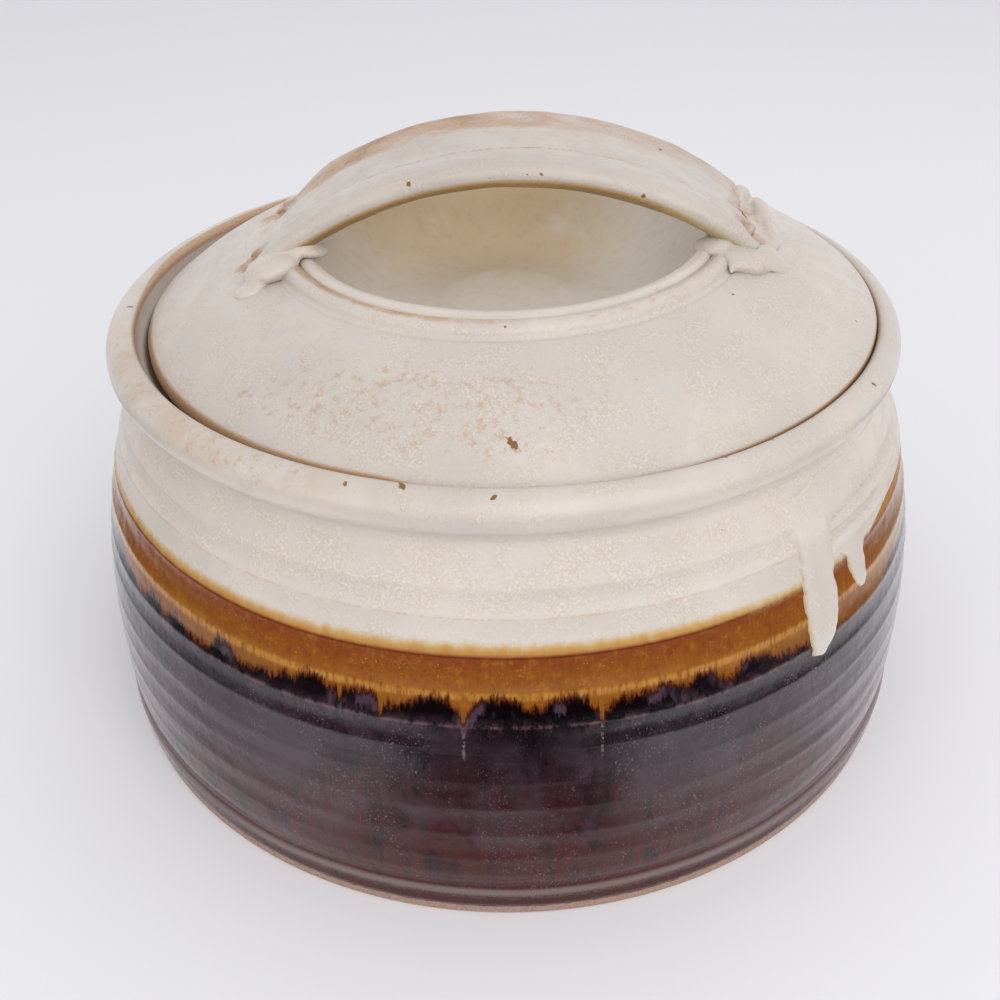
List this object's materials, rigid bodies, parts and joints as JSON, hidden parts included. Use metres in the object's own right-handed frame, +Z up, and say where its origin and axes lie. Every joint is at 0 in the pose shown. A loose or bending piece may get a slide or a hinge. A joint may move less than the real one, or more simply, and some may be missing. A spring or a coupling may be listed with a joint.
{
  "type": "bean pot",
  "caption": "Wheel-thrown stoneware bean pot with a rolled rim, a loose drop-in lid, a round finger well in the lid and an arched strap handle over the well.",
  "frame": {"origin": "middle of the foot, on the surface that the pot stands on", "axes": "+Z up; +X along the strap handle, to the right; -Y towards the front"},
  "size_m": [0.2308, 0.2308, 0.1497],
  "materials": {
    "pot_glaze": "cream glaze over the shoulder and rim, amber then gloss black-brown below, bare tan clay at the foot",
    "run_glaze": "thick cream glaze, satin",
    "lid_glaze": "speckled oatmeal glaze, satin, tan where it breaks over edges",
    "well_glaze": "thin oatmeal glaze, grey-tan in the bowl",
    "strap_glaze": "oatmeal glaze, tan along the rolled edges",
    "luting_glaze": "oatmeal glaze with ochre where the torn clay shows"
  },
  "bodies": {
    "pot": {"pot_body": "pot_glaze", "glaze_runs": "run_glaze"},
    "lid": {"lid_cover": "lid_glaze", "lid_well": "well_glaze", "handle_strap": "strap_glaze", "left_luting": "luting_glaze", "right_luting": "luting_glaze"}
  },
  "joints": [
    {"name": "lid_lift", "type": "slide", "parent": "pot", "child": "lid", "axis": [0, 0, 1], "range_m": [0, 0.12]}
  ]
}
